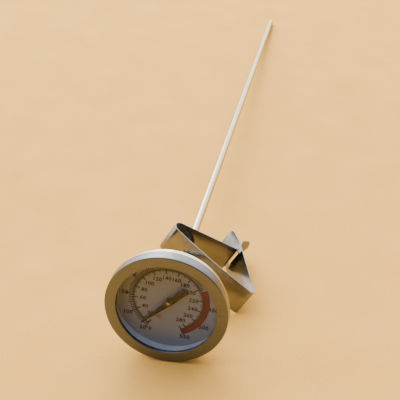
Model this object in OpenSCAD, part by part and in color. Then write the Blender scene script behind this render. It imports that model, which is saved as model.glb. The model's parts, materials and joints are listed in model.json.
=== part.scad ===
// Bimetal dial thermometer with a long probe stem and a folded spring clip, lying on a table.
// Every piece is drawn about the stem's axis: the dial faces +Z and depths are counted from the
// bezel's front face towards the tip. laid() then lowers the finished instrument to its rest pose,
// on the bezel's rim, the stem's tip and the clip's outer fold.

/* [Dial head] */
// Outer radius of the bezel
bezel_r = 26; // [25:0.25:28]
// Radius of the bezel's opening
opening_r = 21.2; // [20:0.1:21.5]
// Depth of the bezel's side wall
bezel_depth = 4.7; // [4.5:0.1:4.8]
// Thickness of the bezel and case sheet
sheet_t = 0.6; // [0.5:0.05:0.7]
// Thickness of the glass
glass_t = 1.9; // [1.5:0.1:1.9]
// Depth of the dial plate's printed face
dial_depth = 8.5; // [8.2:0.1:9.2]
// Depth of the back of the case
case_depth = 13; // [12:0.25:14]

/* [Scale] */
// Lowest reading on the outer scale, in degrees Fahrenheit
scale_low = 50; // [0:10:100]
// Highest reading on the outer scale
scale_high = 550; // [400:50:600]
// Clockwise angle from the top of the dial to the lowest reading
scale_start = 214.5; // [180:0.5:230]
// Angle between the lowest and the highest reading
scale_sweep = 304.5; // [240:0.5:320]
// Reading that the pointer shows
reading = 70; // [50:1:150]

/* [Stem] */
// Radius of the stem
stem_r = 1.9; // [1.8:0.05:1.95]
// Wall thickness of the stem tube
stem_wall = 0.4; // [0.3:0.05:0.45]
// Depth of the stem's tip
reach = 392; // [300:1:500]
// Distance from the tip to the immersion mark
immersion = 51; // [40:1:80]

/* [Nut and bush] */
// Width of the calibration nut across its flats
nut_flats = 10; // [9:0.5:13]
// Length of the calibration nut
nut_length = 4.3; // [3.5:0.1:6]
// Radius of the bush that the head turns on
bush_r = 3; // [2.8:0.1:3.4]

/* [Clip] */
// Width of the clip's strip
clip_w = 14; // [12:0.5:16]
// Thickness of the clip's strip
clip_t = 0.5; // [0.4:0.05:0.6]
// Width of the tongue that passes through the slot
tongue_w = 8.2; // [7:0.1:9]
// Turn of the clip about the stem, from the dial's top
clip_turn = 58.1; // [50:0.1:60]
// Largest angle that the fold closes by when the clip is squeezed
squeeze = 2; // [1:0.5:2.5]

/* [Hidden] */
$fn = 96;

gap = 0.05;             // between stacked pieces, and running clearance round a turning one
press = 0.01;           // radial play of a piece that is pressed on
past = 1;               // how far a cutter runs past the faces it cuts

// Head, front to back
lip_depth = 1.5;
lip_t = 0.5;
edge_round = 0.4;
opening_round = 0.25;
lens_play = 0.5;         // between the glass and the bezel's wall
glass_r = bezel_r - sheet_t - lens_play;
gasket_t = 0.7;
gasket_w = 2.2;
glass_back = lip_depth + gap + glass_t;
gasket_back = glass_back + gap + gasket_t;
gasket_in_r = glass_r - gasket_w;
rim_front = gasket_back + gap;
rim_w = 1.6;             // how far the case's rim reaches out under the bezel
cup_in_r = bezel_r - sheet_t - rim_w;
cup_out_r = cup_in_r + sheet_t;
hem_in = 0.25;           // how far the hem stands inside the bezel
hem_gap = 0.35;          // open groove between the bezel and the hem
hem_w = 1;
hem_r = bezel_r - hem_in;
hem_front = bezel_depth + hem_gap;
hem_back = hem_front + hem_w;
hem_round = 0.45;
dial_t = 0.45;
dial_r = cup_in_r - 2 * gap;
dial_hole_r = 1.2;
spacer_t = 0.6;
spacer_in_r = gasket_in_r;
shoulder = dial_depth + dial_t + gap;
well_step = 2.6;         // width of the step that the dial rests on
well_in_r = cup_in_r - well_step;
well_out_r = well_in_r + sheet_t;
shoulder_round = 0.8;
floor_round = 1.6;

// Pointer, turned by the coil through a thin shaft
shaft_r = 0.45;
pointer_lift = 2.2;      // of its front face above the dial
pointer_front = dial_depth - pointer_lift;
pointer_t = 0.22;
pointer_tip = 16.3;
pointer_tail = 9.9;
pointer_w = 2.4;
tail_w = 2.8;
tip_w = 0.35;
boss_r = 1.5;
hub_r = 1.25;
hub_t = 0.5;
shaft_front = pointer_front - hub_t;
degrees_per_reading = scale_sweep / (scale_high - scale_low);
pointer_turn = scale_start + (reading - scale_low) * degrees_per_reading;

// Bush, washers and nut that join the head to the stem
bush_flange_r = 5.2;
bush_flange_t = 0.9;
washer_t = 0.7;
washer_r = 5;
case_floor = case_depth - sheet_t;
bush_front = case_floor - gap - washer_t - bush_flange_t;
case_washer_t = 0.25;
nut_front = case_depth + case_washer_t + 2 * gap;
nut_back = nut_front + nut_length;
nut_chamfer = 0.6;
ferrule_front = nut_back + gap;
ferrule_length = 3.5;
ferrule_r = 3.2;
ferrule_rim = 1;         // length of its plain end, before the taper
ferrule_lip = 0.3;       // wall left at its thin end

// Stem, sensing coil and what guides the shaft
tube_front = dial_depth + 1;
tip_length = 5;
tube_back = reach - tip_length;
bore_r = stem_r - stem_wall;
mark_w = 1;
mark_deep = 0.2;
mark_depth = reach - immersion;
spigot = 3;
plug_r = bore_r - press;
guide_length = 3;
coil_length = 56;
coil_turns = 14;
coil_steps = 12;        // steps round one turn
coil_in_r = 0.75;
coil_out_r = 1.2;
coil_strip_w = 1.1;
anchor_length = 2;
coil_back = tube_back - spigot - gap - anchor_length - gap;
coil_front = coil_back - coil_length;
collar_length = 2;
shaft_back = coil_front - gap;
lower_guide_front = shaft_back - collar_length - 2 - guide_length;

// Clip: the corners of its strip as [across, depth, bend radius], across from the stem's axis
jaw_end = [15.6, 74.2, 0];
jaw_bend = [21.2, 66.6, 9];
outer_fold = [34.9, 35.5, 1.75];
leg_bow = [12, 39.9, 100];
inner_fold = [-20.6, 50.1, 3.5];
tongue_bend = [20.6, 60.5, 1.3];
tongue_set = [22.6, 66.2, 6];
tab_bend = [23.2, 74.9, 4];
tab_end = [28.2, 78.6, 0];
bend_step = 7.5;
tongue_start = 62.6;
slot_play = 0.4;         // the slot's extra width, both sides together
slot_w = tongue_w + slot_play;
slot_from = 62.7;
slot_to = 65.9;
hole_r = stem_r + 0.08;
front_leg_depth = 43.4;  // of its middle, where the stem passes
front_hole = [35, 50];   // depths that the two holes' cutters span
back_hole = [50, 60];
jaw_round = 2.5;
tab_round = 6;

// Rest pose: the axis dips so that the bezel's rear edge and the round tip both touch the table
tip_centre = reach - stem_r;
lay_tilt = atan2(bezel_r, tip_centre - bezel_depth)
    - asin(stem_r / norm([bezel_r, tip_centre - bezel_depth]));
axis_height = bezel_depth * sin(lay_tilt) + bezel_r * cos(lay_tilt);
nearest = edge_round * (cos(lay_tilt) - 1) - (bezel_r - edge_round) * sin(lay_tilt);
farthest = tip_centre * cos(lay_tilt) + stem_r;
clip_across = bend_centre(leg_bow, outer_fold, jaw_bend)[0] + outer_fold[2] + clip_t / 2;
rightmost = clip_across * sin(clip_turn) + clip_w / 2 * cos(clip_turn);

function unit(v) = v / norm(v);
function flat(p) = [p[0], p[1]];
function turned(p, a) = [p[0] * cos(a) - p[1] * sin(a), p[0] * sin(a) + p[1] * cos(a)];
function arc(centre, r, from, to, steps = 8) =
    [for (i = [0 : steps]) centre + turned([r, 0], from + (to - from) * i / steps)];

// Centre of the bend of radius b[2] that rounds the corner b between a and c
function bend_centre(a, b, c) =
    let (u = unit(flat(a) - flat(b)), v = unit(flat(c) - flat(b)))
    flat(b) + unit(u + v) * b[2] / sin(acos(u * v) / 2);

// Points along that bend
function bend(a, b, c) =
    let (
        u = unit(flat(a) - flat(b)),
        v = unit(flat(c) - flat(b)),
        centre = bend_centre(a, b, c),
        start = flat(b) + u * b[2] / tan(acos(u * v) / 2),
        side = cross(u, v) > 0 ? -1 : 1,
        sweep = side * (180 - acos(u * v)),
        steps = max(3, ceil(abs(sweep) / bend_step))
    )
    [for (i = [0 : steps]) centre + turned(start - centre, sweep * i / steps)];

// A path through the corners, with each inner corner bent
function bent_path(corners) =
    let (last = len(corners) - 1)
    concat(
        [flat(corners[0])],
        [for (i = [1 : last - 1]) each bend(corners[i - 1], corners[i], corners[i + 1])],
        [flat(corners[last])]
    );

function along(path, i) =
    unit(path[min(i + 1, len(path) - 1)] - path[max(i - 1, 0)]);
function beside(path, off) =
    [for (i = [0 : len(path) - 1]) path[i] + turned(along(path, i), 90) * off];
function backwards(list) = [for (i = [len(list) - 1 : -1 : 0]) list[i]];

// The fold is shared: each half of the clip ends on the fold's middle line
fold_centre = bend_centre(leg_bow, inner_fold, tongue_bend);
fold_points = bend(leg_bow, inner_fold, tongue_bend);
fold_middle = floor(len(fold_points) / 2);
fold_free = ceil(squeeze / bend_step);     // steps left out between the halves, as room to close
fold_bore_r = inner_fold[2] - clip_t / 2 + 0.02;

// How far the front hole is stretched, because closing the fold carries that leg sideways
hole_travel = (fold_centre[1] - front_leg_depth) * sin(squeeze) + 2 * gap;
front_path = concat(
    bent_path([jaw_end, jaw_bend, outer_fold, leg_bow, fold_points[0]]),
    [for (i = [1 : fold_middle]) fold_points[i]]
);
back_path = concat(
    [for (i = [fold_middle + fold_free : len(fold_points) - 2]) fold_points[i]],
    bent_path([fold_points[len(fold_points) - 1], tongue_bend, tongue_set, tab_bend, tab_end])
);

// Moves the instrument from its own axis to the rest pose on the table
module laid() {
    translate([-(rightmost - bezel_r) / 2, -(nearest + farthest) / 2, axis_height])
        rotate([90 - lay_tilt, 0, 0])
            children();
}

// A round bar from one depth to another
module bar(r, front, back) {
    translate([0, 0, -back])
        cylinder(h = back - front, r = r);
}

module ring(outer_r, inner_r, front, back) {
    difference() {
        bar(outer_r, front, back);
        bar(inner_r, front - past, back + past);
    }
}

// A turned shape from its outline of [radius, height] points
module turned_shape(outline) {
    rotate_extrude()
        polygon(outline);
}

// Head

module bezel_ring() {
    side_in_r = bezel_r - sheet_t;
    lip_out_r = opening_r + lip_t;
    color("silver")
        laid()
            turned_shape(concat(
                [[opening_r, -lip_depth]],
                arc([opening_r + opening_round, -opening_round], opening_round, 180, 90),
                arc([bezel_r - edge_round, -edge_round], edge_round, 90, 0),
                [
                    [bezel_r, -bezel_depth], [side_in_r, -bezel_depth],
                    [side_in_r, -sheet_t], [lip_out_r, -sheet_t], [lip_out_r, -lip_depth]
                ]
            ));
}

module glass_lens() {
    color("lightcyan", 0.35)
        laid()
            bar(glass_r, lip_depth + gap, glass_back);
}

module lens_gasket() {
    color("gainsboro")
        laid()
            ring(glass_r, gasket_in_r, glass_back + gap, gasket_back);
}

module dial_spacer() {
    color("aliceblue")
        laid()
            ring(spacer_in_r + spacer_t, spacer_in_r, rim_front, dial_depth - gap);
}

module dial_plate() {
    color("gainsboro")
        laid()
            ring(dial_r, dial_hole_r, dial_depth, dial_depth + dial_t);
}

module case_cup() {
    color("silver")
        laid()
            turned_shape(concat(
                [[cup_in_r, -rim_front], [bezel_r - sheet_t - gap, -rim_front]],
                [[bezel_r - sheet_t - gap, -hem_front]],
                arc([hem_r - hem_round, -hem_front - hem_round], hem_round, 90, 0),
                arc([hem_r - hem_round, -hem_back + hem_round], hem_round, 0, -90),
                [[cup_out_r, -hem_back]],
                arc(
                    [cup_out_r - shoulder_round, -shoulder - sheet_t + shoulder_round],
                    shoulder_round, 0, -90
                ),
                [[well_out_r, -shoulder - sheet_t]],
                arc([well_out_r - floor_round, -case_depth + floor_round], floor_round, 0, -90),
                [[bush_r + gap, -case_depth], [bush_r + gap, -case_floor]],
                [[well_in_r, -case_floor], [well_in_r, -shoulder], [cup_in_r, -shoulder]]
            ));
}

// Pointer and shaft

module pointer() {
    color("#2b1c18")
        laid()
            rotate([0, 0, -pointer_turn])
                translate([0, 0, -pointer_front - pointer_t])
                    difference() {
                        linear_extrude(height = pointer_t)
                            union() {
                                polygon([
                                    [-pointer_w / 2, 0], [pointer_w / 2, 0],
                                    [tip_w / 2, pointer_tip], [-tip_w / 2, pointer_tip]
                                ]);
                                translate([-tail_w / 2, -pointer_tail])
                                    square([tail_w, pointer_tail]);
                                circle(r = boss_r);
                            }
                        translate([0, 0, -past])
                            cylinder(h = pointer_t + 2 * past, r = shaft_r + press);
                    }
}

module pointer_hub() {
    color("goldenrod")
        laid()
            ring(hub_r, shaft_r + press, pointer_front - hub_t, pointer_front);
}

module pointer_shaft() {
    color("silver")
        laid()
            bar(shaft_r, shaft_front, shaft_back);
}

module coil_collar() {
    color("goldenrod")
        laid()
            ring(coil_out_r, shaft_r + press, shaft_back - collar_length, shaft_back);
}

// Point of the coil's strip: one of its four corners at a step of the helix
function coil_point(step, corner) =
    let (
        r = corner < 2 ? coil_in_r : coil_out_r,
        low = corner == 1 || corner == 2 ? coil_strip_w : 0,
        rise = (coil_length - coil_strip_w) * step / (coil_turns * coil_steps),
        around = 360 * step / coil_steps
    )
    [r * cos(around), r * sin(around), -coil_front - rise - low];

module bimetal_coil() {
    rings = coil_turns * coil_steps;
    points = [for (step = [0 : rings], corner = [0 : 3]) coil_point(step, corner)];
    sides = [
        for (step = [0 : rings - 1], corner = [0 : 3])
            let (a = step * 4 + corner, b = step * 4 + (corner + 1) % 4)
            each [[a, a + 4, b + 4], [a, b + 4, b]]
    ];
    ends = [[0, 1, 2], [0, 2, 3], [rings * 4 + 2, rings * 4 + 1, rings * 4],
        [rings * 4 + 3, rings * 4 + 2, rings * 4]];
    color("peru")
        laid()
            polyhedron(points = points, faces = concat(sides, ends));
}

module coil_anchor() {
    color("goldenrod")
        laid()
            bar(plug_r, coil_back + gap, coil_back + gap + anchor_length);
}

module guide(front) {
    ring(plug_r, shaft_r + gap, front, front + guide_length);
}

module upper_guide() {
    color("goldenrod")
        laid()
            guide(tube_front + gap);
}

module lower_guide() {
    color("goldenrod")
        laid()
            guide(lower_guide_front);
}

// Bush, washers and nut

module neck_bush() {
    color("goldenrod")
        laid()
            difference() {
                union() {
                    bar(bush_flange_r, bush_front, bush_front + bush_flange_t);
                    bar(bush_r, bush_front, nut_back);
                }
                bar(stem_r + press, bush_front - past, nut_back + past);
            }
}

module spring_washer() {
    color("gray")
        laid()
            ring(washer_r, bush_r + gap, bush_front + bush_flange_t + gap, case_floor - gap);
}

module case_washer() {
    color("darkslategray")
        laid()
            ring(washer_r, bush_r + gap, case_depth + gap, case_depth + gap + case_washer_t);
}

module calibration_nut() {
    corner_r = nut_flats / sqrt(3);
    color("silver")
        laid()
            difference() {
                intersection() {
                    translate([0, 0, -nut_back])
                        cylinder(h = nut_length, r = corner_r, $fn = 6);
                    turned_shape([
                        [0, -nut_front], [corner_r - nut_chamfer, -nut_front],
                        [corner_r, -nut_front - nut_chamfer / 2],
                        [corner_r, -nut_back + nut_chamfer / 2],
                        [corner_r - nut_chamfer, -nut_back], [0, -nut_back]
                    ]);
                }
                bar(bush_r + press, nut_front - past, nut_back + past);
            }
}

module stem_ferrule() {
    color("silver")
        laid()
            turned_shape([
                [stem_r + press, -ferrule_front], [ferrule_r, -ferrule_front],
                [ferrule_r, -ferrule_front - ferrule_rim],
                [stem_r + ferrule_lip, -ferrule_front - ferrule_length],
                [stem_r + press, -ferrule_front - ferrule_length]
            ]);
}

// Stem

module stem_tube() {
    color("silver")
        laid()
            difference() {
                bar(stem_r, tube_front, tube_back);
                bar(bore_r, tube_front - past, tube_back + past);
                ring(stem_r + past, stem_r - mark_deep, mark_depth - mark_w / 2,
                    mark_depth + mark_w / 2);
            }
}

module stem_tip() {
    color("silver")
        laid()
            union() {
                bar(plug_r, tube_back - spigot, tube_back + past);
                bar(stem_r, tube_back, tip_centre);
                translate([0, 0, -tip_centre])
                    sphere(r = stem_r);
            }
}

// Clip: across is X, depth is Y and the strip's width is Z, until on_clip() turns it

module on_clip() {
    rotate([0, 0, clip_turn - 90])
        rotate([-90, 0, 0])
            children();
}

module strip(path, width) {
    linear_extrude(height = width, center = true)
        polygon(concat(beside(path, clip_t / 2), backwards(beside(path, -clip_t / 2))));
}

// Block in the clip's own frame, centred on its width
module block(from, to, width) {
    translate([from[0], from[1], -width / 2])
        cube([to[0] - from[0], to[1] - from[1], width]);
}

// Bore for the stem through a leg, off the axis by across
module stem_bore(across, front, back) {
    translate([across, back, 0])
        rotate([90, 0, 0])
            cylinder(h = back - front, r = hole_r);
}

// Cutter for the two corners of a strip that ends at a given place across
module end_corners(across, width, r) {
    for (side = [0, 1])
        mirror([0, 0, side])
            translate([across - r, jaw_bend[1], width / 2 - r])
                difference() {
                    cube([r + past, jaw_bend[1], r + past]);
                    translate([0, jaw_bend[1] + past, 0])
                        rotate([90, 0, 0])
                            cylinder(h = jaw_bend[1] + 2 * past, r = r);
                }
}

// Cutter for the tongue's round end
module tongue_end() {
    difference() {
        block([tab_end[0] - tab_round / 2, tongue_start], [2 * clip_across, 2 * jaw_bend[1]], clip_w);
        translate([tab_end[0] - tab_round, 2 * jaw_bend[1] + past, 0])
            rotate([90, 0, 0])
                cylinder(h = 2 * jaw_bend[1], r = tab_round);
    }
}

// Round inside of the fold, on the axis that the two halves turn about
module fold_bore() {
    translate([fold_centre[0], fold_centre[1], 0])
        cylinder(h = clip_w + 2 * past, r = fold_bore_r, center = true);
}

// Cutter beside the tongue
module tongue_sides() {
    for (side = [0, 1])
        mirror([0, 0, side])
            translate([0, tongue_start, tongue_w / 2])
                cube([2 * clip_across, jaw_bend[1], clip_w]);
}

module clip_front() {
    color("silver")
        laid()
            on_clip()
                difference() {
                    strip(front_path, clip_w);
                    mirror([1, 0, 0])
                        end_corners(-jaw_end[0], clip_w, jaw_round);
                    block([0, slot_from], [clip_across, slot_to], slot_w);
                    stem_bore(0, front_hole[0], front_hole[1]);
                    stem_bore(-hole_travel, front_hole[0], front_hole[1]);
                    block([-hole_travel, front_hole[0]], [0, front_hole[1]], 2 * hole_r);
                    fold_bore();
                }
}

module clip_back() {
    color("silver")
        laid()
            on_clip()
                difference() {
                    strip(back_path, clip_w);
                    tongue_sides();
                    tongue_end();
                    fold_bore();
                    stem_bore(0, back_hole[0], back_hole[1]);
                }
}

bezel_ring();
glass_lens();
lens_gasket();
dial_spacer();
dial_plate();
case_cup();
pointer();
pointer_hub();
pointer_shaft();
coil_collar();
bimetal_coil();
coil_anchor();
upper_guide();
lower_guide();
neck_bush();
spring_washer();
case_washer();
calibration_nut();
stem_ferrule();
stem_tube();
stem_tip();
clip_front();
clip_back();
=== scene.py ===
# %% [markdown]
# # A dial thermometer with a probe stem and a spring clip
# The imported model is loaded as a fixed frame. Everything below is built around it, in metres, and
# sizes are written in millimetres and multiplied by MM where they meet a mesh.

# %% Load the frame
import json
import math

import bmesh
import bpy
import numpy as np
from mathutils import Matrix, Vector


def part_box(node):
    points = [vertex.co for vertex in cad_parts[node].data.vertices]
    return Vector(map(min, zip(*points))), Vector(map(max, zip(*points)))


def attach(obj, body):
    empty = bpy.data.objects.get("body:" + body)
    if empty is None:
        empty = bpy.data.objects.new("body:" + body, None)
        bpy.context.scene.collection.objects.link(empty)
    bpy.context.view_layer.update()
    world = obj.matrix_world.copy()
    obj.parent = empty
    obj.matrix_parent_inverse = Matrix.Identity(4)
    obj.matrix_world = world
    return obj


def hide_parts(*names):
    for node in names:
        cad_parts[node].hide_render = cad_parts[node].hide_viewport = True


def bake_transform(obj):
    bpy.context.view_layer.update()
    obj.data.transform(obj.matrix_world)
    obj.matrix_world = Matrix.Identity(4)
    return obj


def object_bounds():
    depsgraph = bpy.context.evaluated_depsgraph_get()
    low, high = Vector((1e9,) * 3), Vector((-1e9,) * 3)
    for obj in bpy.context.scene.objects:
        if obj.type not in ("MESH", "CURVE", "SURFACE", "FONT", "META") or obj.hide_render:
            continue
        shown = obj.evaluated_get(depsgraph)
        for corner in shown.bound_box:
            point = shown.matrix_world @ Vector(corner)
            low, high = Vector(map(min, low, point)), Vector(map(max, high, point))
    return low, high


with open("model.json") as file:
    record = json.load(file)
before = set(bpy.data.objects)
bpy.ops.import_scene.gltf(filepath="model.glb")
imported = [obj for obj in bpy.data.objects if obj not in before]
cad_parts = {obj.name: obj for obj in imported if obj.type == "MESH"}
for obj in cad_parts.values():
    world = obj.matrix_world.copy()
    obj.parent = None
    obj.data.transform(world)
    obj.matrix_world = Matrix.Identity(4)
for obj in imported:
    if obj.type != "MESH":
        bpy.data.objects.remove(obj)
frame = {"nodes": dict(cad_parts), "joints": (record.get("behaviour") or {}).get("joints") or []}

cad_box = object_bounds()
MM = 0.001
print("CAD box in mm:", [[round(c / MM, 1) for c in corner] for corner in cad_box])

# %% [markdown]
# ## The instrument's own axes
# The thermometer lies askew: its stem dips towards the table. It is far easier to shape every
# round piece about the stem, so each one is drawn in the instrument's own axes: side, up and depth
# behind the bezel's face. The head's joint gives the dial's centre and the direction it faces, and
# the clip's joint gives the fold that its strip bends round. One function then places the points.

# %% Axes from the joints
joints = {joint["name"]: joint for joint in frame["joints"]}
DIAL_CENTRE = np.array(joints["head_turn"]["pos_m"])
OUT = np.array(joints["head_turn"]["axis"])
SIDE = np.array([1.0, 0.0, 0.0])
UP = np.cross(OUT, SIDE)
STRIP_WIDE = np.array(joints["clip_squeeze"]["axis"])
ACROSS = np.cross(-OUT, STRIP_WIDE)


def placed(side, up, depth):
    """Side, up and depth in mm to points in the frame: centre + side, up and minus depth along out."""
    side, up, depth = np.broadcast_arrays(side, up, depth)
    return DIAL_CENTRE + MM * (side[..., None] * SIDE + up[..., None] * UP - depth[..., None] * OUT)


def half_width(node):
    """Radius in mm of a round node: half its box along X, which lies square to the stem."""
    low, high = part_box(node)
    return (high.x - low.x) / 2 / MM


BEZEL_R = half_width("bezel_ring")
STEM_R = half_width("stem_tip")
print("bezel radius", round(BEZEL_R, 2), "mm, stem radius", round(STEM_R, 2), "mm")

# %% [markdown]
# ## Camera
# A long lens a little above the dial, looking down along the stem. Its place is an offset from the
# dial's centre, and its direction is an azimuth and an elevation, so it has no roll.

# %% Camera
CAMERA_OFFSET = np.array([63.5, -269.2, 231.7])
CAMERA_AZIMUTH = math.radians(10.35)
CAMERA_ELEVATION = math.radians(32.72)
LENS = 78.65

camera_data = bpy.data.cameras.new("camera")
camera_data.lens = LENS
camera_data.sensor_width = 36
camera_data.clip_start = 0.01
camera = bpy.data.objects.new("camera", camera_data)
bpy.context.scene.collection.objects.link(camera)
camera.location = Vector(DIAL_CENTRE + CAMERA_OFFSET * MM)
camera.rotation_euler = (math.pi / 2 - CAMERA_ELEVATION, 0, CAMERA_AZIMUTH)
bpy.context.scene.camera = camera
print("camera at", [round(c, 3) for c in camera.location])

# %% [markdown]
# ## Table and light
# A plain pale table, a large soft lamp at the back left, a weaker cool one in front, and a surround
# that brightens smoothly towards the back left. Bright steel shows what stands around it, so the
# light is broad: its reflection fills the bezel's side and the stem's top, while the bezel's face
# mirrors the table in front of it.

# %% Colours and nodes
def linear(code):
    """sRGB hex code to linear colour: each channel is undone from its display curve."""
    channel = np.array([int(code[i:i + 2], 16) for i in (1, 3, 5)]) / 255
    low = channel / 12.92
    high = ((channel + 0.055) / 1.055) ** 2.4
    return (*np.where(channel <= 0.04045, low, high), 1.0)


def add(tree, kind, inputs=None, **settings):
    """Adds a node with its settings. An input is linked if it is a socket, and set if it is a value."""
    made = tree.nodes.new(kind)
    for name, value in settings.items():
        setattr(made, name, value)
    for name, value in (inputs or {}).items():
        if isinstance(value, bpy.types.NodeSocket):
            tree.links.new(value, made.inputs[name])
        else:
            made.inputs[name].default_value = value
    return made


def material(name):
    """A new material with an empty tree and its output. Returns the material, tree and output."""
    made = bpy.data.materials.new(name)
    made.use_nodes = True
    made.node_tree.nodes.clear()
    return made, made.node_tree, add(made.node_tree, "ShaderNodeOutputMaterial")


# %% Table
def paper_table():
    """Kraft paper: a matte tan sheet with the faint mottling of its fibres."""
    made, tree, output = material("kraft_paper")
    where = add(tree, "ShaderNodeTexCoord").outputs["Object"]
    fibres = add(tree, "ShaderNodeTexNoise", {"Vector": where, "Scale": 1 / (1.2 * MM), "Detail": 4.0})
    clouds = add(tree, "ShaderNodeTexNoise", {"Vector": where, "Scale": 1 / (25 * MM), "Detail": 2.0})
    both = add(tree, "ShaderNodeMath", {0: fibres.outputs["Fac"], 1: clouds.outputs["Fac"]},
               operation="ADD")
    tone = add(tree, "ShaderNodeValToRGB", {"Fac": add(tree, "ShaderNodeMath", {
        0: both.outputs[0], 1: 0.5}, operation="MULTIPLY").outputs[0]})
    tone.color_ramp.elements[0].position = 0.3
    tone.color_ramp.elements[0].color = linear("#e3ae50")
    tone.color_ramp.elements[1].position = 0.7
    tone.color_ramp.elements[1].color = linear("#efbe66")
    shader = add(tree, "ShaderNodeBsdfPrincipled", {"Base Color": tone.outputs["Color"],
                                                    "Roughness": 0.9, "Specular IOR Level": 0.2})
    tree.links.new(shader.outputs[0], output.inputs["Surface"])
    return made


floor_size = 4.0
floor_mesh = bpy.data.meshes.new("table")
corner = floor_size / 2
floor_mesh.from_pydata([(-corner, -corner, 0), (corner, -corner, 0), (corner, corner, 0),
                        (-corner, corner, 0)], [], [(0, 1, 2, 3)])
floor = bpy.data.objects.new("table", floor_mesh)
floor.location.z = cad_box[0].z
bpy.context.scene.collection.objects.link(floor)
floor_mesh.materials.append(paper_table())

# %% Lamps and surround
TENT_TOWARDS = (-0.45, 0.77, 0.45)
TENT_DARK, TENT_BRIGHT = 0.05, 0.8
TENT_LOW, TENT_HIGH = 0.08, 5.0

world = bpy.data.worlds.new("surround")
bpy.context.scene.world = world
world.use_nodes = True
tent = world.node_tree
from_back = add(tent, "ShaderNodeVectorMath", {
    0: add(tent, "ShaderNodeTexCoord").outputs["Generated"], 1: TENT_TOWARDS},
    operation="DOT_PRODUCT")
brightness = add(tent, "ShaderNodeMapRange", {
    "Value": from_back.outputs["Value"], "From Min": TENT_DARK, "From Max": TENT_BRIGHT,
    "To Min": TENT_LOW, "To Max": TENT_HIGH}, interpolation_type="SMOOTHSTEP")
tent.nodes["Background"].inputs["Color"].default_value = linear("#fdf1dc")
tent.links.new(brightness.outputs[0], tent.nodes["Background"].inputs["Strength"])


def lamp(name, place, size, power, colour):
    """A square soft lamp that looks at the instrument's middle."""
    data = bpy.data.lights.new(name, "AREA")
    data.size = size
    data.energy = power
    data.color = linear(colour)[:3]
    made = bpy.data.objects.new(name, data)
    made.location = place
    made.rotation_euler = (-Vector(place)).to_track_quat("-Z", "Y").to_euler()
    bpy.context.scene.collection.objects.link(made)


lamp("overhead", (-0.45, 0.9, 0.8), 0.7, 15, "#fff3de")
lamp("fill", (-0.3, -0.9, 1.0), 0.7, 3.2, "#c4d2ff")

# %% [markdown]
# ## Making surfaces
# A turned piece is its outline carried round an axis, and the clip is a strip's section carried
# along its bent path. Both are grids of points that a few array operations work out at once, and
# one function turns any such grid into a closed mesh. Corners of an outline are rounded first,
# because the small radius on a real edge is what catches the light.

# %% Grid to mesh
def surface(name, points, wrap=(True, True), sharp=40):
    """A grid of points to a smooth mesh piece: neighbouring points join into quads, rows and
    columns wrap where asked, equal points merge, and edges sharper than an angle stay crisp."""
    rows, columns = points.shape[:2]
    index = np.arange(rows * columns).reshape(rows, columns)
    down = np.roll(index, -1, 0) if wrap[0] else index[1:]
    top = index if wrap[0] else index[:-1]
    if not wrap[1]:
        quads = np.stack([top[:, :-1], top[:, 1:], down[:, 1:], down[:, :-1]], -1)
    else:
        quads = np.stack([top, np.roll(top, -1, 1), np.roll(down, -1, 1), down], -1)
    mesh = bpy.data.meshes.new(name)
    mesh.from_pydata(points.reshape(-1, 3), [], quads.reshape(-1, 4).tolist())
    return finished(name, mesh, sharp)


def finished(name, mesh, sharp=40):
    """Merges equal points, turns faces outwards, smooths all but sharp edges, and links the piece."""
    shape = bmesh.new()
    shape.from_mesh(mesh)
    bmesh.ops.remove_doubles(shape, verts=shape.verts, dist=1e-7)
    bmesh.ops.dissolve_degenerate(shape, edges=shape.edges, dist=1e-8)
    bmesh.ops.recalc_face_normals(shape, faces=shape.faces)
    shape.to_mesh(mesh)
    shape.free()
    mesh.shade_smooth()
    mesh.set_sharp_from_angle(angle=math.radians(sharp))
    made = bpy.data.objects.new(name, mesh)
    bpy.context.scene.collection.objects.link(made)
    return made


def bend(before, corner, after, radius, steps):
    """Arc of a radius that rounds a corner: its centre lies on the corner's bisector, and it
    starts and ends where the two sides touch the circle."""
    before, corner, after = (np.array(p, float) for p in (before, corner, after))
    back = (before - corner) / np.linalg.norm(before - corner)
    on = (after - corner) / np.linalg.norm(after - corner)
    half = math.acos(np.clip(back @ on, -1, 1)) / 2
    middle = (back + on) / np.linalg.norm(back + on)
    centre = corner + middle * radius / math.sin(half)
    start = corner + back * radius / math.tan(half) - centre
    turn = math.copysign(math.pi - 2 * half, -(back[0] * on[1] - back[1] * on[0]))
    angle = turn * np.linspace(0, 1, steps + 1)
    return centre + np.stack([start[0] * np.cos(angle) - start[1] * np.sin(angle),
                              start[0] * np.sin(angle) + start[1] * np.cos(angle)], -1)


def rounded(outline, steps=5):
    """A closed outline of (x, y, radius) corners to points, each corner with a radius rounded."""
    parts = []
    for i, (x, y, radius) in enumerate(outline):
        before, after = outline[i - 1], outline[(i + 1) % len(outline)]
        if radius:
            parts.append(bend(before[:2], (x, y), after[:2], radius, steps))
        else:
            parts.append(np.array([[x, y]], float))
    return np.concatenate(parts)


def turned(name, outline, around=192, sharp=40, steps=5):
    """A turned piece: radius times cosine and sine of the turn gives side and up, and the
    outline's second number is the depth. Points on the axis merge into a pole."""
    profile = rounded(outline, steps)
    turn = np.linspace(0, 2 * math.pi, around, endpoint=False)
    radius, depth = profile[:, 0, None], profile[:, 1, None]
    return surface(name, placed(radius * np.cos(turn), radius * np.sin(turn), depth), sharp=sharp)


def stands_for(piece, finish, body, slot, *nodes):
    """Gives a piece its material and body, and hides the CAD nodes that it stands for. The slot is not
    used.
    """
    piece.data.materials.clear()
    piece.data.materials.append(finish)
    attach(piece, body)
    if nodes:
        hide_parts(*nodes)
    print(f"{piece.name}: {len(piece.data.polygons)} faces on {body}")
    return piece
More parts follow.
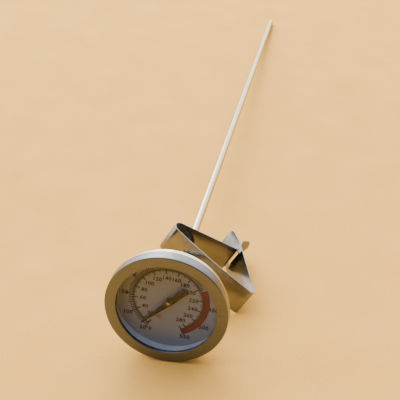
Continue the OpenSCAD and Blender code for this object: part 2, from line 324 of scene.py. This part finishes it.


# %% [markdown]
# ## Steels
# All the outer metal is stainless steel but for the brass hub, and only its last working differs.
# The bezel's sheet was brushed before it was pressed, so fine straight lines run across it. The stem
# was ground and polished, and the clip is bright rolled strip with faint lines along its length. One
# shader does them all: stretched noise, whose grain has a real length and width, drives roughness
# and a very shallow bump. The grain follows a frame turned to the instrument, through a Mapping node.
# The bezel's and clip's colours are darker and bluer than real steel, and the hub's than real brass: this
# is painted shade and tint, matched to this scene's light, where the mirrored table would otherwise come
# out too bright and too yellow. The stem's colour is warmer than real steel, a painted tint matched to the
# same light, and the wire's is darker than real drawn steel. In another scene they are the first values to
# reset.

# %% Steel shader
def turned_frame(x, y, z):
    """Rotation of a texture's axes onto three directions of the model, as Euler angles."""
    return Matrix(np.array([x, y, z]).T.tolist()).to_euler()


ALONG_STEM = turned_frame(SIDE, UP, OUT)
ALONG_STRIP = turned_frame(ACROSS, -OUT, STRIP_WIDE)


def steel(name, colour, roughness, axes, grain, depth, spread=0.08, tint="#ffffff"):
    """Stainless steel: grain is the length in mm of one streak along each of the three axes,
    depth its relief in mm, and spread how far roughness varies between streaks."""
    made, tree, output = material(name)
    where = add(tree, "ShaderNodeTexCoord").outputs["Object"]
    turned_to = add(tree, "ShaderNodeMapping", {
        "Vector": where, "Rotation": axes, "Location": tuple(DIAL_CENTRE),
        "Scale": [g * MM for g in grain]}, vector_type="TEXTURE")
    streaks = add(tree, "ShaderNodeTexNoise", {"Vector": turned_to.outputs[0], "Scale": 1.0,
                                               "Detail": 3.0, "Roughness": 0.6})
    patches = add(tree, "ShaderNodeTexNoise", {"Vector": where, "Scale": 1 / (9 * MM), "Detail": 2.0})
    worn = add(tree, "ShaderNodeMath", {0: streaks.outputs["Fac"], 1: patches.outputs["Fac"]},
               operation="ADD")
    rough = add(tree, "ShaderNodeMapRange", {
        "Value": worn.outputs[0], "From Min": 0.6, "From Max": 1.4,
        "To Min": roughness - spread, "To Max": roughness + spread})
    relief = add(tree, "ShaderNodeBump", {"Height": streaks.outputs["Fac"], "Distance": depth * MM,
                                          "Strength": 1.0})
    shade = add(tree, "ShaderNodeMix", {0: add(tree, "ShaderNodeMapRange", {
        "Value": streaks.outputs["Fac"], "From Min": 0.3, "From Max": 0.7}).outputs[0],
        6: linear(colour), 7: linear(tint)}, data_type="RGBA")
    shader = add(tree, "ShaderNodeBsdfPrincipled", {
        "Base Color": shade.outputs[2], "Metallic": 1.0, "Roughness": rough.outputs[0],
        "Normal": relief.outputs[0]})
    tree.links.new(shader.outputs[0], output.inputs["Surface"])
    return made


# Painted shade and tint: the base colours of the bezel, the clip, the stem and the hub below are set to
# this scene's light, not to the metals; the inner brass pieces share the hub's.
brushed_sheet = steel("brushed_stainless_sheet", "#5c6273", 0.34, ALONG_STEM, (9, 0.35, 9),
                      0.0012, tint="#6a7081")
pressed_sheet = steel("pressed_stainless_sheet", "#b9b5ae", 0.27, ALONG_STEM, (6, 6, 0.5),
                      0.0006, tint="#cbc8c2")
ground_tube = steel("ground_stainless_tube", "#aaa28f", 0.24, ALONG_STEM, (3, 3, 0.6),
                    0.0001, spread=0.04, tint="#b5ad9a")
turned_bar = steel("turned_stainless_bar", "#aaa69f", 0.3, ALONG_STEM, (5, 5, 0.2), 0.002,
                   tint="#c2bfb9")
rolled_strip = steel("rolled_spring_steel", "#70757f", 0.2, ALONG_STRIP, (14, 14, 0.3),
                     0.0006, spread=0.06, tint="#8a8d95")
drawn_wire = steel("drawn_steel_wire", "#2f2e2d", 0.4, ALONG_STEM, (0.3, 0.3, 8), 0.0005)
brass_bar = steel("turned_brass", "#50463a", 0.3, ALONG_STEM, (3, 3, 0.15), 0.001, tint="#655842")
bimetal_strip = steel("rolled_bimetal_strip", "#8e7355", 0.4, ALONG_STEM, (2, 2, 0.2), 0.0005,
                      tint="#a58a6a")
print("steels:", [m.name for m in bpy.data.materials])

# %% [markdown]
# ## Paint, plastic and glass
# The dial is stove-enamelled tin, the pointer is lacquered dark, and the ring between the glass and
# the dial is white moulded plastic. Enamel is smooth but not flat: low noise gives its faint orange
# peel, and its grey stands for a white dial in the shade of its case. The glass bends light as float
# glass does, but mirrors only a tenth as much, since a full reflection of the table hides the dial
# under a veil. It lets shadow rays through, because rays bent into shadow would leave the dial dark.

# %% Paints and plastics
def coating(name, colour, other, roughness, grain, depth, coat=0.0):
    """Paint or plastic: two close colours mixed by noise of a grain in mm, with shallow relief."""
    made, tree, output = material(name)
    where = add(tree, "ShaderNodeTexCoord").outputs["Object"]
    peel = add(tree, "ShaderNodeTexNoise", {"Vector": where, "Scale": 1 / (grain * MM), "Detail": 3.0})
    tone = add(tree, "ShaderNodeMix", {0: peel.outputs["Fac"], 6: linear(colour), 7: linear(other)},
               data_type="RGBA")
    rough = add(tree, "ShaderNodeMapRange", {"Value": peel.outputs["Fac"], "To Min": roughness - 0.06,
                                             "To Max": roughness + 0.06})
    relief = add(tree, "ShaderNodeBump", {"Height": peel.outputs["Fac"], "Distance": depth * MM,
                                          "Strength": 1.0})
    shader = add(tree, "ShaderNodeBsdfPrincipled", {
        "Base Color": tone.outputs[2], "Roughness": rough.outputs[0], "Normal": relief.outputs[0],
        "Coat Weight": coat, "Coat Roughness": 0.1})
    tree.links.new(shader.outputs[0], output.inputs["Surface"])
    return made


enamel = coating("white_stove_enamel", "#949598", "#9d9ea1", 0.42, 1.5, 0.002)
black_ink = coating("black_pad_print_ink", "#15110f", "#1e1a17", 0.55, 0.4, 0.002)
red_ink = coating("red_pad_print_ink", "#742a2a", "#7e302e", 0.5, 0.4, 0.002)
lacquer = coating("dark_needle_lacquer", "#120d0b", "#1b1411", 0.45, 0.8, 0.003)
white_plastic = coating("white_moulded_polystyrene", "#e3e8f2", "#ebeff6", 0.35, 3.0, 0.003)
silicone = coating("white_silicone_rubber", "#c4c8ca", "#cdd1d2", 0.6, 1.0, 0.006)
fibre = coating("black_vulcanised_fibre", "#1b1b1c", "#27272a", 0.7, 0.6, 0.01)


def float_glass():
    """Float glass of IOR 1.52, smooth: its mirror reflection is held down by the specular tint, and
    shadow rays pass through."""
    made, tree, output = material("clear_float_glass")
    glass = add(tree, "ShaderNodeBsdfPrincipled", {
        "Base Color": linear("#f6fbfb"), "Roughness": 0.0, "IOR": 1.52, "Transmission Weight": 1.0,
        "Specular Tint": (0.1, 0.1, 0.1, 1.0)})
    clear = add(tree, "ShaderNodeBsdfTransparent", {"Color": linear("#f0f6f6")})
    rays = add(tree, "ShaderNodeLightPath")
    either = add(tree, "ShaderNodeMixShader", {0: rays.outputs["Is Shadow Ray"],
                                               1: glass.outputs[0], 2: clear.outputs[0]})
    tree.links.new(either.outputs[0], output.inputs["Surface"])
    return made


glass = float_glass()

# %% [markdown]
# ## Head
# The bezel is one pressed ring: a flat face, a lip turned down round the opening, and a side wall
# that grips the case. Turning its outline gives all three, and rounding each corner of the outline
# gives the pressed edges. The case behind it is a drawn cup whose rim is hemmed outwards, which is
# the second band on the side. A thin dark line between the two is a real gap.

# %% Bezel, glass and case
LIP_R = 21.2
LIP_T = 0.5
LIP_DEPTH = 1.5
SHEET = 0.6
BEZEL_DEPTH = 4.7
GAP = 0.05
GLASS_T = 1.9
DIAL_DEPTH = 8.5
DIAL_T = 0.45
CASE_DEPTH = 13.0
GASKET_T, GASKET_W = 0.7, 2.2

bezel = turned("bezel_ring_pressed", [
    (LIP_R, LIP_DEPTH, 0.12), (LIP_R, 0, 0.25), (BEZEL_R, 0, 0.4), (BEZEL_R, BEZEL_DEPTH, 0.12),
    (BEZEL_R - SHEET, BEZEL_DEPTH, 0.12), (BEZEL_R - SHEET, SHEET, 0.1), (LIP_R + LIP_T, SHEET, 0.1),
    (LIP_R + LIP_T, LIP_DEPTH, 0.12)], around=256)
stands_for(bezel, brushed_sheet, "head", "brushed_stainless", "bezel_ring")

glass_back = LIP_DEPTH + GAP + GLASS_T
GLASS_R = half_width("glass_lens")
lens = turned("glass_lens_ground", [
    (0, LIP_DEPTH + GAP, 0), (GLASS_R, LIP_DEPTH + GAP, 0.2), (GLASS_R, glass_back, 0.2),
    (0, glass_back, 0)], around=128)
stands_for(lens, glass, "head", "clear_glass", "glass_lens")

gasket_back = glass_back + GAP + GASKET_T
gasket = turned("lens_gasket_moulded", [
    (GLASS_R - GASKET_W, glass_back + GAP, 0.15), (GLASS_R, glass_back + GAP, 0.15),
    (GLASS_R, gasket_back, 0.15), (GLASS_R - GASKET_W, gasket_back, 0.15)], around=128)
stands_for(gasket, silicone, "head", "white_gasket", "lens_gasket")

SPACER_IN_R = GLASS_R - GASKET_W
SPACER_T = 0.6
spacer = turned("dial_spacer_moulded", [
    (SPACER_IN_R, gasket_back + GAP, 0.15), (SPACER_IN_R + SPACER_T, gasket_back + GAP, 0.15),
    (SPACER_IN_R + SPACER_T, DIAL_DEPTH - GAP, 0.1), (SPACER_IN_R, DIAL_DEPTH - GAP, 0.1)],
    around=192)
stands_for(spacer, white_plastic, "head", "white_spacer", "dial_spacer")

CUP_R = BEZEL_R - 2.2
WELL_R = CUP_R - 2.6
HEM_R = BEZEL_R - 0.25
HEM_FRONT = BEZEL_DEPTH + 0.35
HEM_BACK = HEM_FRONT + 1.0
HEM_ROUND = 0.45
RIM_FRONT = gasket_back + GAP
SHOULDER = DIAL_DEPTH + DIAL_T + GAP
BUSH_HOLE_R = 3.05
cup = turned("case_cup_drawn", [
    (CUP_R, RIM_FRONT, 0.1), (BEZEL_R - SHEET - GAP, RIM_FRONT, 0.1),
    (BEZEL_R - SHEET - GAP, HEM_FRONT, 0), (HEM_R, HEM_FRONT, HEM_ROUND), (HEM_R, HEM_BACK, HEM_ROUND),
    (CUP_R + SHEET, HEM_BACK, 0.1), (CUP_R + SHEET, SHOULDER + SHEET, 0.8),
    (WELL_R + SHEET, SHOULDER + SHEET, 0.5), (WELL_R + SHEET, CASE_DEPTH, 1.6),
    (BUSH_HOLE_R, CASE_DEPTH, 0.1), (BUSH_HOLE_R, CASE_DEPTH - SHEET, 0.1),
    (WELL_R, CASE_DEPTH - SHEET, 1.0), (WELL_R, SHOULDER, 0.3), (CUP_R, SHOULDER, 0.3)],
    around=256)
stands_for(cup, pressed_sheet, "head", "brushed_stainless", "case_cup")

# %% [markdown]
# ## Dial
# The plate is a flat enamelled disc. Its print could be a pattern in the material, but ink is a
# film with an edge, and geometry stays sharp at any distance, so each mark is a thin closed block
# of ink on the plate. Angles run clockwise from the top of the dial. The print is turned a little
# on its plate and sits a little to one side of it, and the numerals stand upright in its own turn.

# %% Dial plate
DIAL_R = half_width("dial_plate")
DIAL_HOLE_R = 1.2
plate = turned("dial_plate_enamelled", [
    (DIAL_HOLE_R, DIAL_DEPTH, 0.05), (DIAL_R, DIAL_DEPTH, 0.12), (DIAL_R, DIAL_DEPTH + DIAL_T, 0.12),
    (DIAL_HOLE_R, DIAL_DEPTH + DIAL_T, 0.05)], around=160)
stands_for(plate, enamel, "head", "painted_dial", "dial_plate")

# %% Scale marks
INK = 0.03
SCALE_LOW, SCALE_HIGH = 50.0, 550.0
SCALE_START, SCALE_SWEEP = 214.5, 304.5
PRINT_TURN = 5.3
PRINT_SIDE = -0.6
RING_R = 14.6


def fahrenheit_angle(reading):
    """Clockwise angle of a reading: the scale's sweep shared evenly between its ends."""
    return SCALE_START + (np.asarray(reading, float) - SCALE_LOW) * SCALE_SWEEP / (SCALE_HIGH - SCALE_LOW)


def celsius_angle(reading):
    """The same for the inner scale, through the usual change of degrees."""
    return fahrenheit_angle(np.asarray(reading, float) * 9 / 5 + 32)


def on_dial(radius, angle, height=0.0):
    """Point at a radius and clockwise angle in degrees, a height in mm above the plate."""
    turn = np.radians(angle)
    return placed(radius * np.sin(turn) + PRINT_SIDE, radius * np.cos(turn), DIAL_DEPTH - height)


def ink_marks(name, angles, inner, outer, width, ink):
    """Radial marks: each is a block with four corners on the plate and four an ink's height up."""
    angles = np.atleast_1d(angles).astype(float)
    inner, outer, width = (np.broadcast_to(v, angles.shape).astype(float) for v in (inner, outer, width))
    radius = np.stack([inner, inner, outer, outer], -1)
    half = np.stack([-width, width, width, -width], -1) / 2
    reach = np.hypot(radius, half)
    angle = angles[:, None] + np.degrees(np.arctan2(half, radius))
    points = np.concatenate([on_dial(reach, angle), on_dial(reach, angle, INK)], 1)
    block = np.array([(0, 1, 2, 3), (7, 6, 5, 4), (0, 4, 5, 1), (1, 5, 6, 2), (2, 6, 7, 3), (3, 7, 4, 0)])
    faces = (np.arange(len(angles))[:, None, None] * 8 + block).reshape(-1, 4)
    mesh = bpy.data.meshes.new(name)
    mesh.from_pydata(points.reshape(-1, 3), [], faces.tolist())
    return stands_for(finished(name, mesh, 30), ink, "head", "painted_dial")


def ink_arc(name, low, high, inner, outer, ink, step=1.5):
    """An arc of ink: a small rectangle of section carried round from one angle to another."""
    angle = np.linspace(low, high, int(abs(high - low) / step) + 2)[:, None]
    radius = np.array([inner, outer, outer, inner])
    lift = np.array([0, 0, INK, INK])
    ring = on_dial(radius, angle, lift)
    caps = [end.mean(0, keepdims=True).repeat(4, 0)[None] for end in (ring[0], ring[-1])]
    ring = np.concatenate([caps[0], ring, caps[1]])
    return stands_for(surface(name, ring, wrap=(False, True), sharp=30), ink, "head", "painted_dial")


fives = np.arange(SCALE_LOW, SCALE_HIGH + 1, 5)
outer_end = np.where(fives % 50 == 0, 17.7, np.where(fives % 25 == 0, 16.9, 16.4))
black_fives = fives < 400
ink_marks("fahrenheit_marks", fahrenheit_angle(fives[black_fives]), RING_R, outer_end[black_fives],
          np.where(fives[black_fives] % 50 == 0, 0.46, 0.4), black_ink)
twos = np.arange(20, 281, 2)
inner_end = np.where(twos % 20 == 0, 12.5, np.where(twos % 10 == 0, 13.2, 13.8))
ink_marks("celsius_marks", celsius_angle(twos), inner_end, RING_R,
          np.where(twos % 20 == 0, 0.46, 0.3), black_ink)
ink_marks("scale_end_marks", fahrenheit_angle([SCALE_LOW, SCALE_HIGH]), 12.9, [17.7, 17.2],
          0.5, black_ink)
ink_arc("scale_ring", SCALE_START, SCALE_START + SCALE_SWEEP, RING_R - 0.16, RING_R + 0.16, black_ink)
red_start = float(fahrenheit_angle(400))
ink_arc("hot_band", red_start, SCALE_START + SCALE_SWEEP, RING_R + 0.2, 17.2, red_ink)

# %% [markdown]
# ## Numerals
# Plain numbers are generic, so they are kept. A text object gives the outlines, and it becomes a
# mesh first: its flat points are then turned, moved and laid on the plate with the same function
# as the marks, all numbers of one scale in one piece.

# %% Numerals
def ink_words(name, words, ink):
    """Flat text to ink on the dial: each word is (text, height in mm, radius, angle). The word's
    points are turned with the print and moved to their radius and angle."""
    points, faces, count = [], [], 0
    for text, height, radius, angle in words:
        curve = bpy.data.curves.new("word", "FONT")
        curve.body = text
        curve.size = height * MM
        curve.align_x = "CENTER"
        curve.align_y = "CENTER"
        curve.extrude = INK * MM / 2
        curve.offset = 0.03 * height * MM
        curve.space_character = 1.1
        curve.resolution_u = 3
        flat = bpy.data.objects.new("word", curve)
        mesh = bpy.data.meshes.new_from_object(flat)
        local = np.empty(len(mesh.vertices) * 3)
        mesh.vertices.foreach_get("co", local)
        local = local.reshape(-1, 3) / MM
        turn, away = math.radians(PRINT_TURN), math.radians(angle)
        side = local[:, 0] * math.cos(turn) + local[:, 1] * math.sin(turn) + radius * math.sin(away)
        side += PRINT_SIDE
        up = local[:, 1] * math.cos(turn) - local[:, 0] * math.sin(turn) + radius * math.cos(away)
        points.append(placed(side, up, DIAL_DEPTH - INK / 2 - local[:, 2]))
        faces += [[v + count for v in p.vertices] for p in mesh.polygons]
        count += len(local)
        bpy.data.objects.remove(flat)
        bpy.data.curves.remove(curve)
        bpy.data.meshes.remove(mesh)
    made = bpy.data.meshes.new(name)
    made.from_pydata(np.concatenate(points), [], faces)
    return stands_for(finished(name, made, 30), ink, "head", "painted_dial")


celsius_words = [(str(c), 2.4, 10.5, float(celsius_angle(c))) for c in range(20, 281, 20)]
fahrenheit_words = [(str(f), 2.6, 18.8, float(fahrenheit_angle(f))) for f in range(100, 501, 50)]
fahrenheit_words += [("50°F", 2.5, 18.0, 212.5), ("550", 2.6, 18.7, 158.5)]
ink_words("celsius_numerals", celsius_words, black_ink)
ink_words("fahrenheit_numerals", fahrenheit_words, black_ink)
ink_words("celsius_sign", [("°C", 2.1, 9.6, 205.0)], red_ink)

# %% [markdown]
# ## Pointer
# A stamped needle with a square tail. Its outline is a short closed list of corners, filled as a
# flat curve with a small bevel, since a plain extrusion would have razor edges. The hub is a
# turned brass eyelet, and the shaft's end shows in its bore.

# %% Pointer
POINTER_FRONT = DIAL_DEPTH - 2.2
POINTER_T = 0.22
NEEDLE, NEEDLE_ROOT, NEEDLE_TIP = 16.3, 2.4, 0.35
TAIL, TAIL_W = 9.9, 2.8
BOSS_R = 1.5
HUB_T = 0.5
READING = 70.0
pointer_angle = float(fahrenheit_angle(READING))


def stamped(name, outline, front, thickness, angle, edge=0.04):
    """A flat stamping: the outline's corners make a filled curve, whose bevel rounds the edges,
    and whose points are then turned clockwise and laid square to the stem."""
    curve = bpy.data.curves.new("outline", "CURVE")
    curve.dimensions = "2D"
    curve.fill_mode = "BOTH"
    curve.extrude = (thickness / 2 - edge) * MM
    curve.bevel_depth = edge * MM
    curve.bevel_resolution = 2
    line = curve.splines.new("POLY")
    line.points.add(len(outline) - 1)
    line.points.foreach_set("co", np.column_stack(
        [np.array(outline) * MM, np.zeros(len(outline)), np.ones(len(outline))]).ravel())
    line.use_cyclic_u = True
    flat = bpy.data.objects.new("outline", curve)
    mesh = bpy.data.meshes.new_from_object(flat)
    local = np.empty(len(mesh.vertices) * 3)
    mesh.vertices.foreach_get("co", local)
    local = local.reshape(-1, 3) / MM
    turn = math.radians(angle)
    side = local[:, 0] * math.cos(turn) + local[:, 1] * math.sin(turn)
    up = local[:, 1] * math.cos(turn) - local[:, 0] * math.sin(turn)
    laid = placed(side, up, front + thickness / 2 - local[:, 2])
    mesh.vertices.foreach_set("co", laid.ravel())
    bpy.data.objects.remove(flat)
    bpy.data.curves.remove(curve)
    mesh.name = name
    return finished(name, mesh, 50)


def needle_outline(root, tip, needle, tail_w, tail, boss, steps=24):
    """Half outline of the pointer mirrored: the needle tapers from root to tip, the tail is a
    rectangle, and a round boss joins them."""
    start = math.asin(root / 2 / boss)
    end = math.pi - math.asin(tail_w / 2 / boss)
    arc = np.linspace(start, end, steps)
    right = np.column_stack([boss * np.sin(arc), boss * np.cos(arc)])
    half = np.concatenate([[[tip / 2, needle]], right, [[tail_w / 2, -tail]]])
    return np.concatenate([half, (half * [-1, 1])[::-1]])


pointer = stamped("pointer_stamped", needle_outline(NEEDLE_ROOT, NEEDLE_TIP, NEEDLE, TAIL_W, TAIL, BOSS_R),
                  POINTER_FRONT, POINTER_T, pointer_angle)
stands_for(pointer, lacquer, "pointer", "dark_paint", "pointer")

HUB_R = half_width("pointer_hub")
HUB_FRONT = POINTER_FRONT - HUB_T
EYE_R = 0.46
hub = turned("pointer_hub_turned", [
    (EYE_R, POINTER_FRONT, 0), (EYE_R, HUB_FRONT + 0.12, 0.08), (0.75, HUB_FRONT, 0.1),
    (HUB_R, HUB_FRONT + 0.06, 0.15), (HUB_R, POINTER_FRONT, 0.05)], around=64)
stands_for(hub, brass_bar, "pointer", "turned_brass", "pointer_hub")

# %% [markdown]
# ## Stem, nut and ferrule
# The stem is a thin-walled tube that was ground to size, with a shallow groove for the immersion
# depth. The round tip is a plug welded into its end. The nut's outline changes round its axis: a
# hexagon's radius is half its width across flats over the cosine of the angle from the nearest
# flat, and the chamfer is a cone, so each point takes the smaller of the two.

# %% Stem
TUBE_FRONT = DIAL_DEPTH + 1
REACH = 392.0
TUBE_BACK = REACH - 5
MARK = REACH - 51
MARK_HALF = 0.5
MARK_DEEP = 0.2
BORE_R = STEM_R - 0.4
tube = turned("stem_tube_ground", [
    (BORE_R, TUBE_FRONT, 0.05), (STEM_R, TUBE_FRONT, 0.1),
    (STEM_R, MARK - MARK_HALF, 0.1), (STEM_R - MARK_DEEP, MARK - MARK_HALF + 0.15, 0.1),
    (STEM_R - MARK_DEEP, MARK + MARK_HALF - 0.15, 0.1), (STEM_R, MARK + MARK_HALF, 0.1),
    (STEM_R, TUBE_BACK, 0.06), (BORE_R, TUBE_BACK, 0.04)], around=64)
stands_for(tube, ground_tube, "stem", "polished_stainless", "stem_tube")

PLUG_R = BORE_R - 0.01
tip = turned("stem_tip_welded", [
    (0, TUBE_BACK - 3, 0), (PLUG_R, TUBE_BACK - 3, 0.2), (PLUG_R, TUBE_BACK, 0),
    (STEM_R, TUBE_BACK, 0.06), (STEM_R, REACH, STEM_R - 0.02), (0, REACH, 0)], around=64, steps=10)
stands_for(tip, ground_tube, "stem", "polished_stainless", "stem_tip")

# %% Nut and ferrule
NUT_FRONT = 13.35
NUT_BACK = NUT_FRONT + 4.3
NUT_FLATS = 10.0
NUT_BORE_R = 3.01
CHAMFER = 0.6


def hexagon_nut(name, flats, bore, front, back, chamfer):
    """A nut as a closed grid: at each depth the radius is the smaller of the hexagon's and the
    chamfer cone's, and the bore closes the loop inside."""
    turn = np.linspace(0, 2 * math.pi, 6 * 24, endpoint=False)
    off_flat = (turn + math.pi / 6) % (math.pi / 3) - math.pi / 6
    hexagon = flats / 2 / np.cos(off_flat)
    corner_r = flats / math.sqrt(3)
    in_depth = np.concatenate([np.linspace(0, chamfer, 7), back - front - np.linspace(chamfer, 0, 7)])
    end = np.minimum(in_depth, back - front - in_depth)
    cone = corner_r - chamfer * 1.2 + end * 2
    outside = np.minimum(hexagon, cone[:, None])
    radius = np.concatenate([np.full((1, len(turn)), bore), outside, np.full((1, len(turn)), bore)])
    depth = front + np.concatenate([[0], in_depth, [back - front]])[:, None]
    return surface(name, placed(radius * np.cos(turn), radius * np.sin(turn), depth), sharp=25)


nut = hexagon_nut("calibration_nut_milled", NUT_FLATS, NUT_BORE_R, NUT_FRONT, NUT_BACK, CHAMFER)
stands_for(nut, turned_bar, "stem", "turned_stainless", "calibration_nut")
FERRULE_FRONT = NUT_BACK + GAP
FERRULE_R, FERRULE_RIM, FERRULE_LENGTH = 3.2, 1.0, 3.5
ferrule = turned("stem_ferrule_turned", [
    (STEM_R + 0.01, FERRULE_FRONT, 0), (FERRULE_R, FERRULE_FRONT, 0.15),
    (FERRULE_R, FERRULE_FRONT + FERRULE_RIM, 0.5),
    (STEM_R + 0.3, FERRULE_FRONT + FERRULE_LENGTH, 0.12),
    (STEM_R + 0.01, FERRULE_FRONT + FERRULE_LENGTH, 0)], around=96)
stands_for(ferrule, turned_bar, "stem", "turned_stainless", "stem_ferrule")

# %% [markdown]
# ## Spring clip
# The clip is one strip of spring steel, folded twice, whose end passes through a slot in itself.
# Its centre line is a few corners, each rounded to its bend. A rectangle with rounded edges is carried
# along the line, and its width follows the strip: full, then the narrow tongue, then a round end. The
# stem's holes and the slot are cut afterwards. The strip is made as two pieces that meet beside the inner
# fold, and only the front one rides a body.

# %% The strip's path
CLIP_W, CLIP_T = 14.0, 0.5
JAW_END, JAW_BEND = (15.6, 74.2), (21.2, 66.6)
OUTER_FOLD, LEG_BOW, INNER_FOLD = (34.9, 35.5), (12.0, 39.9), (-20.6, 50.1)
TONGUE_BEND, TONGUE_SET = (20.6, 60.5), (22.6, 66.2)
TAB_BEND, TAB_END = (23.2, 74.9), (28.2, 78.6)
TONGUE_W, TONGUE_START = 8.2, 62.6
SLOT_START, SLOT_END = 62.7, 65.9
SLOT_PLAY = 0.4
HOLE_TRAVEL = 0.33
EDGE = 0.14


def path_through(corners, radii, steps):
    """Corners to a path: straight runs, with each inner corner replaced by its bend."""
    parts = [np.array([corners[0]], float)]
    for i, (radius, count) in enumerate(zip(radii, steps), 1):
        parts.append(bend(corners[i - 1], corners[i], corners[i + 1], radius, count))
    parts.append(np.array([corners[-1]], float))
    return np.concatenate(parts)


def spaced(path, step=0.6):
    """The same path with extra points on its long runs, so that no step is longer than asked."""
    length = np.linalg.norm(np.diff(path, axis=0), axis=1)
    along = np.concatenate([[0], np.cumsum(length)])
    wanted = [np.linspace(a, b, max(2, int((b - a) / step) + 2))[:-1] for a, b in zip(along, along[1:])]
    wanted = np.append(np.concatenate(wanted), along[-1])
    return np.column_stack([np.interp(wanted, along, path[:, k]) for k in (0, 1)])


def strip_piece(name, path, half_widths):
    """A section carried along a path: at each step, points of a rounded rectangle lie across the
    strip's width and its thickness, and the thickness follows the path's normal."""
    ahead = np.gradient(path, axis=0)
    ahead /= np.linalg.norm(ahead, axis=1)[:, None]
    normal = np.column_stack([-ahead[:, 1], ahead[:, 0]])
    turn = np.linspace(0, math.pi / 2, 5)
    quarter = EDGE * np.column_stack([np.sin(turn) - 1, np.cos(turn) - 1])
    corners = [(1, 1, quarter), (1, -1, quarter[::-1]), (-1, -1, quarter), (-1, 1, quarter[::-1])]
    sides = np.concatenate([[w] * 5 for w, _, _ in corners])
    faces = np.concatenate([[t] * 5 for _, t, _ in corners])
    inset = np.concatenate([q for _, _, q in corners])
    wide = sides * (half_widths[:, None] + inset[:, 0])
    thick = faces * (CLIP_T / 2 + inset[:, 1])
    flat = path[:, None, :] + thick[..., None] * normal[:, None, :]
    points = (DIAL_CENTRE + MM * (flat[..., :1] * ACROSS - flat[..., 1:] * OUT
                                  + wide[..., None] * STRIP_WIDE))
    ends = [p.mean(0, keepdims=True).repeat(points.shape[1], 0)[None] for p in (points[0], points[-1])]
    return surface(name, np.concatenate([ends[0], points, ends[1]]), wrap=(False, True), sharp=35)


fold_arc = bend(LEG_BOW, INNER_FOLD, TONGUE_BEND, 3.5, 36)
front_path = spaced(path_through([JAW_END, JAW_BEND, OUTER_FOLD, LEG_BOW, tuple(fold_arc[0])],
                                 [9, 1.75, 100], [10, 24, 16]))
back_path = spaced(np.concatenate([fold_arc[:-1], path_through(
    [tuple(fold_arc[-1]), TONGUE_BEND, TONGUE_SET, TAB_BEND, TAB_END], [1.3, 6, 4], [14, 8, 12])]))
print("strip length", round(sum(np.linalg.norm(np.diff(p, axis=0), axis=1).sum()
                                for p in (front_path, back_path)), 1), "mm")


# %% Front and back halves
def to_end(path):
    """Distance along the path from each point to its last point."""
    step = np.linalg.norm(np.diff(path, axis=0), axis=1)
    return np.concatenate([np.cumsum(step[::-1])[::-1], [0]])


TAB_ROUND = 5.3


def round_end(distance, half, radius):
    """Half width near an end: a quarter circle of the radius takes the corner off."""
    inside = np.clip(radius - distance, 0, radius)
    return half - radius + np.sqrt(np.maximum(radius ** 2 - inside ** 2, 0))


front_half = round_end(to_end(front_path[::-1])[::-1], CLIP_W / 2, 2.5)
front_piece = strip_piece("clip_front_strip", front_path, np.maximum(front_half, 0.3))

shoulder = np.argmax((back_path[:, 1] > TONGUE_START) & (back_path[:, 0] > 15))
back_path = np.insert(back_path, shoulder, back_path[shoulder], axis=0)
back_path[shoulder] -= (back_path[shoulder] - back_path[shoulder - 1]) * 0.01
back_half = np.where(np.arange(len(back_path)) <= shoulder, CLIP_W / 2,
                     np.minimum(TONGUE_W / 2, round_end(to_end(back_path), TAB_ROUND, TAB_ROUND)))
back_piece = strip_piece("clip_back_strip", back_path, np.maximum(back_half, 0.3))


# %% Holes and slot
def cut(piece, cutter):
    """Cuts one closed mesh out of another and keeps the result as the piece's own mesh."""
    tool = piece.modifiers.new("cut", "BOOLEAN")
    tool.operation = "DIFFERENCE"
    tool.solver = "EXACT"
    tool.object = cutter
    bpy.context.view_layer.update()
    done = bpy.data.meshes.new_from_object(piece.evaluated_get(bpy.context.evaluated_depsgraph_get()))
    piece.modifiers.clear()
    piece.data = done
    bpy.data.objects.remove(cutter)
    done.shade_smooth()
    done.set_sharp_from_angle(angle=math.radians(35))


def stem_hole(front, back, travel):
    """Cutter for the stem: a bore along the stem, stretched across by a travel."""
    turn = np.linspace(0, 2 * math.pi, 72, endpoint=False)
    radius = STEM_R + 0.08
    across = radius * np.cos(turn) - np.where(np.cos(turn) < 0, travel, 0)
    wide = radius * np.sin(turn)
    ring = DIAL_CENTRE + MM * (across[:, None] * ACROSS + wide[:, None] * STRIP_WIDE)
    ends = [ring - OUT * MM * depth for depth in (front, back)]
    caps = [e.mean(0, keepdims=True).repeat(len(turn), 0) for e in ends]
    return surface("hole", np.stack([caps[0], ends[0], ends[1], caps[1]]), wrap=(False, True))


def slot_block(start, end, width, across):
    """Cutter for the slot: a block with rounded corners, seen from beside the strip."""
    corners = rounded([(start, -width / 2, 1.0), (end, -width / 2, 1.0), (end, width / 2, 1.0),
                       (start, width / 2, 1.0)], 6)
    rings = [DIAL_CENTRE + MM * (a * ACROSS - corners[:, :1] * OUT + corners[:, 1:] * STRIP_WIDE)
             for a in across]
    caps = [r.mean(0, keepdims=True).repeat(len(corners), 0) for r in rings]
    return surface("slot", np.stack([caps[0], rings[0], rings[1], caps[1]]), wrap=(False, True))


cut(front_piece, stem_hole(35, 50, HOLE_TRAVEL))
cut(front_piece, slot_block(SLOT_START, SLOT_END, TONGUE_W + SLOT_PLAY, (10, 40)))
cut(back_piece, stem_hole(50, 60, 0))
stands_for(front_piece, rolled_strip, "clip_front", "spring_steel", "clip_front")

back_piece.data.materials.clear()
back_piece.data.materials.append(rolled_strip)
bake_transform(back_piece)
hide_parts("clip_back")
print("clip:", len(front_piece.data.polygons), "and", len(back_piece.data.polygons), "faces")

# %% [markdown]
# ## Inner pieces
# What lies inside keeps its CAD shape and takes the finish of the real part.

# %% Materials of the CAD nodes that stay
INNER = {
    brass_bar: ("coil_collar", "coil_anchor", "upper_guide", "lower_guide", "neck_bush"),
    drawn_wire: ("pointer_shaft", "spring_washer"),
    bimetal_strip: ("bimetal_coil",),
    fibre: ("case_washer",),
}
for finish, nodes in INNER.items():
    for node in nodes:
        frame["nodes"][node].data.materials.clear()
        frame["nodes"][node].data.materials.append(finish)
print("inner pieces:", sum(len(nodes) for nodes in INNER.values()))
